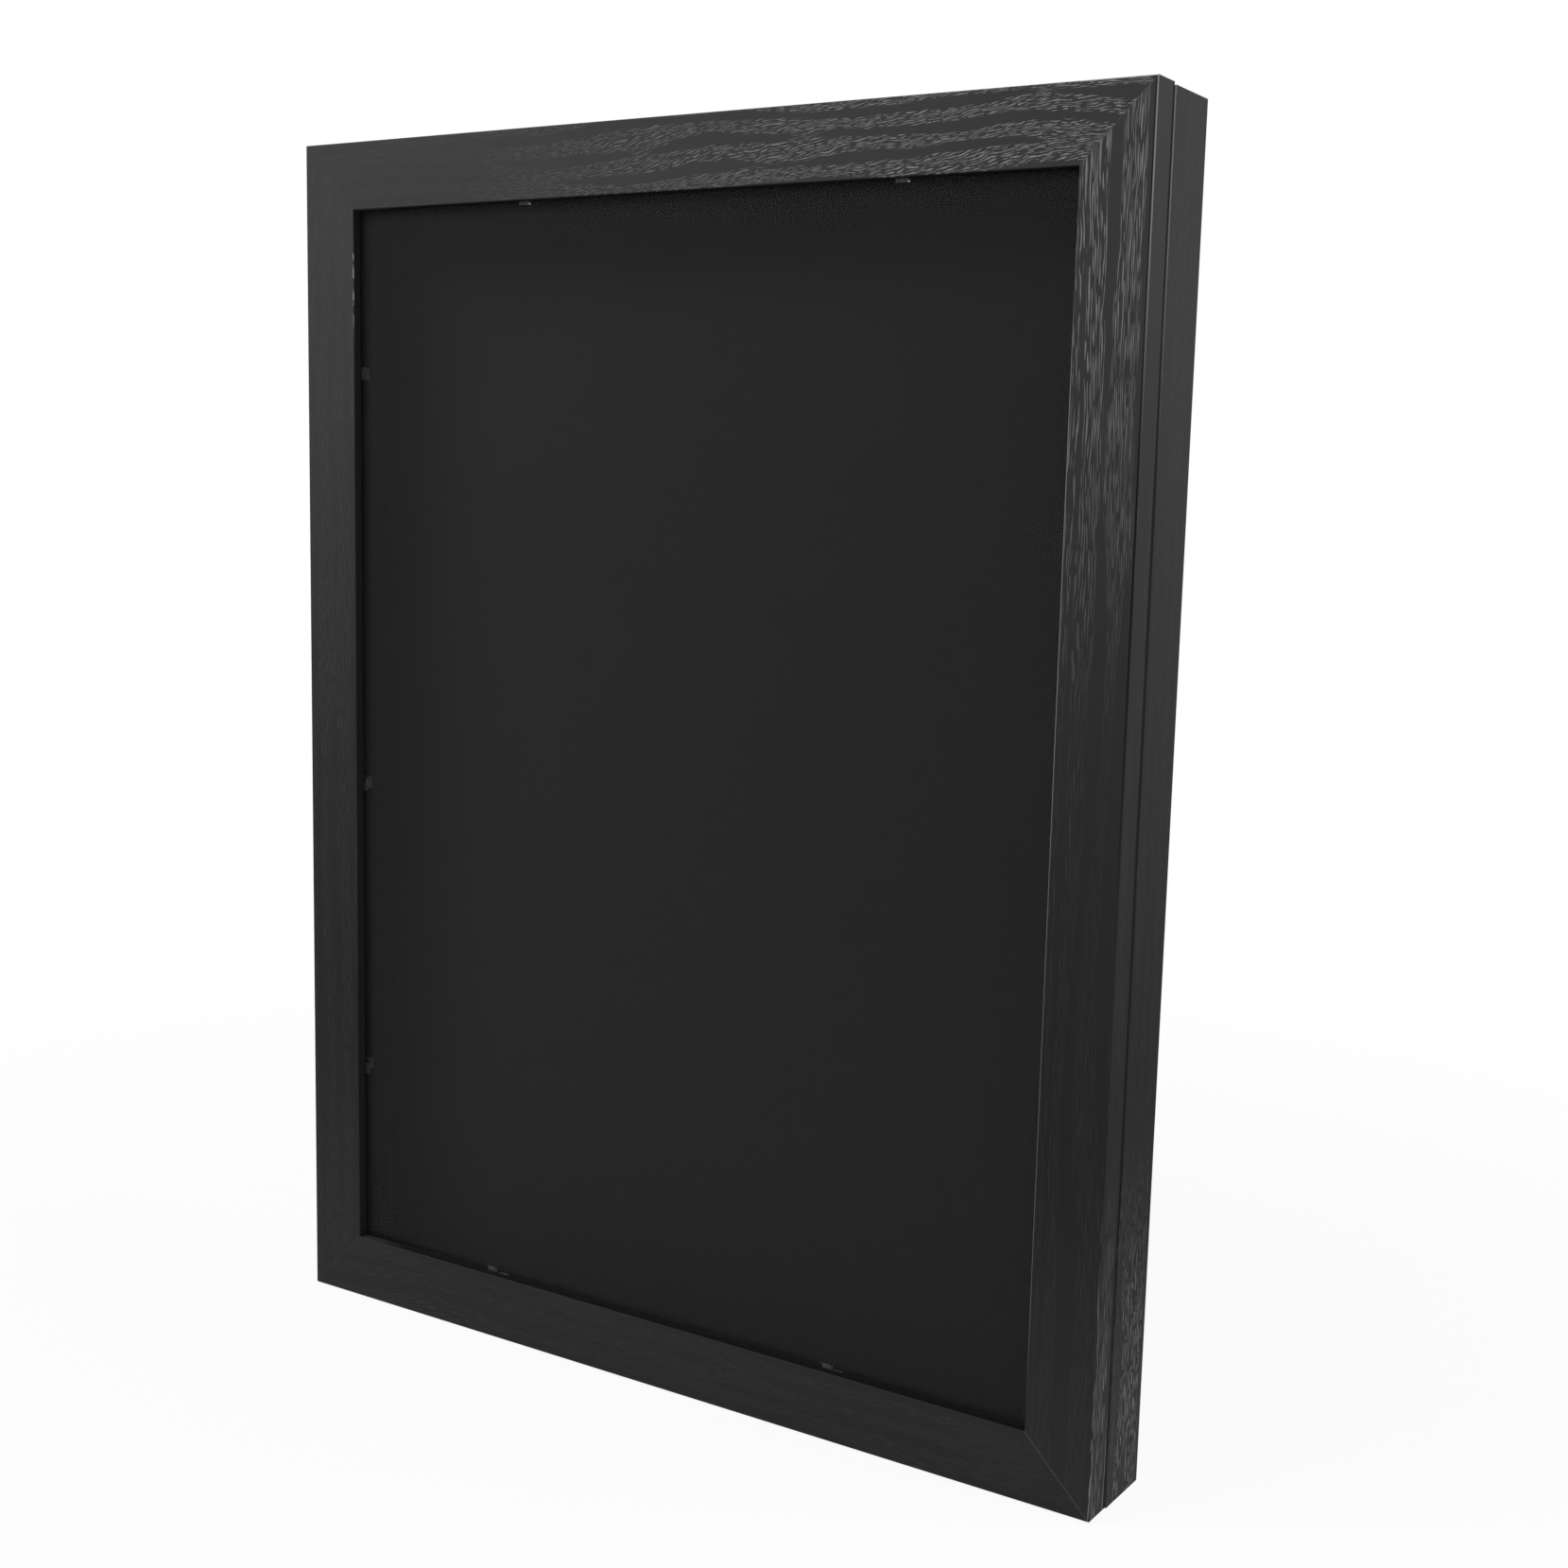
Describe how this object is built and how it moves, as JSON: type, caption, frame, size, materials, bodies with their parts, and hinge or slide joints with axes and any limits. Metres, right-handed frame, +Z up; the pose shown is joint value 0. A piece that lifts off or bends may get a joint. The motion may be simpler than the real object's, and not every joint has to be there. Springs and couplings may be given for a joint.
{
  "type": "jersey shadow box",
  "caption": "Upright black wooden display case with a side-hinged, clear-glazed door frame, a felt pin board inside, magnetic catches and keyhole plates for a wall.",
  "frame": {"origin": "middle of the bottom face, half way between the front and the back of the wooden frame", "axes": "+X to the viewer's right, -Y towards the viewer out of the glazed front, +Z up along the height"},
  "size_m": [0.7064, 0.075, 0.9013],
  "materials": {
    "black_oak_wrap": "satin black wrap with an open oak pore",
    "clear_acrylic": "clear polished sheet",
    "black_steel": "blackened, bright at the cut edges",
    "zinc_steel": "bright zinc plate",
    "nickel": "nickel plate",
    "hardboard": "black-faced thin board",
    "fibre_board": "soft fibre board that takes pins",
    "black_felt": "short felt"
  },
  "bodies": {
    "case": {"back_panel": "hardboard", "back_panel_nails": "zinc_steel", "case_bottom_board": "black_oak_wrap", "case_corner_nails": "zinc_steel", "case_left_side": "black_oak_wrap", "case_right_side": "black_oak_wrap", "case_top_board": "black_oak_wrap", "catch_magnets": "nickel", "hinge_case_leaf_bottom": "zinc_steel", "hinge_case_leaf_middle": "zinc_steel", "hinge_case_leaf_top": "zinc_steel", "hinge_case_screws": "zinc_steel", "hinge_pin_bottom": "zinc_steel", "hinge_pin_middle": "zinc_steel", "hinge_pin_top": "zinc_steel", "keyhole_plate_left": "zinc_steel", "keyhole_plate_right": "zinc_steel", "keyhole_plate_screws": "zinc_steel", "pin_board": "fibre_board", "pin_board_felt": "black_felt"},
    "door": {"catch_strikes": "zinc_steel", "door_bottom_rail": "black_oak_wrap", "door_corner_nails": "zinc_steel", "door_left_stile": "black_oak_wrap", "door_right_stile": "black_oak_wrap", "door_top_rail": "black_oak_wrap", "glazing_clip_screws": "black_steel", "glazing_clips": "black_steel", "glazing_sheet": "clear_acrylic", "hinge_door_leaf_bottom": "zinc_steel", "hinge_door_leaf_middle": "zinc_steel", "hinge_door_leaf_top": "zinc_steel", "hinge_door_screws": "zinc_steel"}
  },
  "joints": [
    {"name": "door_swing", "type": "hinge", "parent": "case", "child": "door", "pos_m": [-0.3534, -0.0122, 0.45], "axis": [0, 0, -1], "range_deg": [0, 180]}
  ]
}
